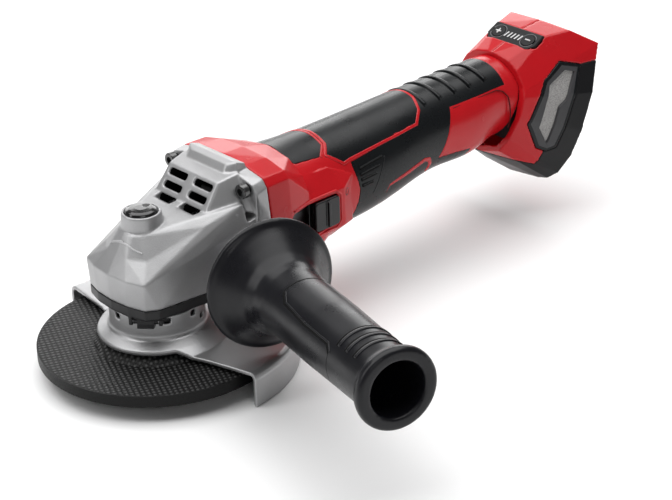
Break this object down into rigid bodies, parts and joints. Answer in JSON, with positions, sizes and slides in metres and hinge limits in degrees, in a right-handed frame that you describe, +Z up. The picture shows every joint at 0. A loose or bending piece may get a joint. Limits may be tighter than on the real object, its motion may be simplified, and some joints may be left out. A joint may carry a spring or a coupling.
{
  "type": "angle grinder",
  "caption": "Cordless angle grinder with a cranked flat gear head, guarded grinding wheel, slim barrel grip, side handle and flared battery foot",
  "frame": {"origin": "centre of the free tip of the spindle, on its axis", "axes": "+X runs along the barrel towards the battery foot, +Y is the side away from the fitted side handle, +Z runs up the spindle into the gear head"},
  "size_m": [0.3625, 0.262, 0.1077],
  "materials": {
    "steel": "bright turned steel",
    "flange_steel": "satin steel",
    "abrasive": "black resin-bonded abrasive with woven mesh",
    "gear_steel": "dark hardened steel",
    "bearing_steel": "polished steel",
    "seal_rubber": "black rubber",
    "bronze": "plain bronze",
    "head_aluminium": "sand-blasted satin aluminium",
    "black_plate": "black coated metal",
    "black_screws": "black oxide",
    "black_gloss": "glossy black",
    "spring_steel": "spring steel",
    "guard_steel": "bright satin sheet steel",
    "lever_black": "black coated metal",
    "lamination": "stacked laminations",
    "magnet": "plated magnets",
    "fan_plastic": "black nylon",
    "inner_plastic": "black nylon",
    "copper": "enamelled copper",
    "grip_rubber": "soft satin black rubber",
    "red_plastic": "satin red plastic",
    "switch_plastic": "black plastic",
    "bumper_rubber": "black rubber",
    "filter_grey": "grey frame with pale mesh",
    "panel_black": "black film",
    "white_bars": "white light windows",
    "button_black": "black with white sign",
    "board_green": "green circuit board",
    "handle_rubber": "dark grey-black rubber",
    "stud_steel": "zinc-plated steel"
  },
  "bodies": {
    "body": {"battery_rails": "inner_plastic", "bearing_bracket": "inner_plastic", "bearing_flange": "black_plate", "bearing_retainer": "bearing_steel", "control_panel": "panel_black", "controller_board": "board_green", "controller_tray": "inner_plastic", "filter_left": "filter_grey", "filter_right": "filter_grey", "flange_screws": "black_screws", "front_bearing_outer": "bearing_steel", "front_grip_pad": "grip_rubber", "gear_head": "head_aluminium", "grip_sleeve": "grip_rubber", "head_screws": "black_screws", "level_bars": "white_bars", "lever_pin": "steel", "lock_spring": "spring_steel", "micro_switch": "inner_plastic", "motor_housing": "red_plastic", "panel_board": "board_green", "rear_bearing_outer": "bearing_steel", "rear_bumper": "bumper_rubber", "rear_housing_left": "red_plastic", "rear_housing_right": "red_plastic", "spindle_bearing_outer": "bearing_steel", "spindle_seal": "seal_rubber", "stator_core": "lamination", "stator_windings": "copper", "terminal_blades": "copper", "top_grip_pad": "grip_rubber", "upper_bush": "bronze"},
    "spindle_unit": {"spindle": "steel", "inner_flange": "flange_steel", "lock_nut": "flange_steel", "grinding_wheel": "abrasive", "wheel_bushing": "flange_steel", "ring_gear": "gear_steel", "spindle_bearing_inner": "bearing_steel", "spindle_bearing_balls": "bearing_steel"},
    "rotor": {"pinion": "gear_steel", "rotor_shaft": "steel", "rotor_core": "lamination", "rotor_magnets": "magnet", "fan": "fan_plastic", "front_bearing_inner": "bearing_steel", "front_bearing_balls": "bearing_steel", "rear_bearing_inner": "bearing_steel", "rear_bearing_balls": "bearing_steel"},
    "lock": {"lock_button": "black_gloss", "lock_pin": "steel"},
    "guard": {"guard": "guard_steel"},
    "guard_catch": {"guard_lever": "lever_black"},
    "switch": {"switch_slider": "switch_plastic", "switch_rod": "steel"},
    "plus_key": {"plus_button": "button_black"},
    "minus_key": {"minus_button": "button_black"},
    "handle_carriage": {"handle_washer": "stud_steel"},
    "side_handle": {"handle_grip": "handle_rubber", "handle_stud": "stud_steel"}
  },
  "joints": [
    {"name": "spindle_spin", "type": "hinge", "parent": "body", "child": "spindle_unit", "pos_m": [0, 0, 0], "axis": [0, 0, 1], "continuous": true},
    {"name": "rotor_spin", "type": "hinge", "parent": "body", "child": "rotor", "pos_m": [0, 0, 0.06], "axis": [1, 0, 0], "continuous": true},
    {"name": "lock_press", "type": "slide", "parent": "body", "child": "lock", "axis": [0, 0, -1], "range_m": [0, 0.004], "stiffness_N_per_m": 600, "springref_m": -0.002, "deforming": ["lock_spring"]},
    {"name": "guard_turn", "type": "hinge", "parent": "body", "child": "guard", "pos_m": [0, 0, 0], "axis": [0, 0, 1], "range_deg": [-90, 90]},
    {"name": "guard_catch_swing", "type": "hinge", "parent": "body", "child": "guard_catch", "pos_m": [-0.02038, -0.01771, 0.031], "axis": [-0.6561, 0.7547, 0], "range_deg": [0, 10], "stiffness_Nm_per_rad": 0.05, "springref_deg": -11.46},
    {"name": "switch_slide", "type": "slide", "parent": "body", "child": "switch", "axis": [-1, 0, 0], "range_m": [0, 0.009]},
    {"name": "plus_press", "type": "slide", "parent": "body", "child": "plus_key", "axis": [0.4599, 0, -0.888], "range_m": [0, 0.0004], "stiffness_N_per_m": 1500, "springref_m": -0.0005},
    {"name": "minus_press", "type": "slide", "parent": "body", "child": "minus_key", "axis": [0.4599, 0, -0.888], "range_m": [0, 0.0004], "stiffness_N_per_m": 1500, "springref_m": -0.0005},
    {"name": "handle_advance", "type": "slide", "parent": "body", "child": "handle_carriage", "axis": [-0.2587, -0.9653, 0.0349], "range_m": [0, 0.00875]},
    {"name": "handle_turn", "type": "hinge", "parent": "handle_carriage", "child": "side_handle", "pos_m": [0.02528, -0.05792, 0.05069], "axis": [-0.2587, -0.9653, 0.0349], "range_deg": [0, 2520]}
  ],
  "couplings": [
    {"joint": "rotor_spin", "follows": "spindle_spin", "ratio": 3.7},
    {"joint": "handle_turn", "follows": "handle_advance", "rad_per_m": 5026.5}
  ]
}
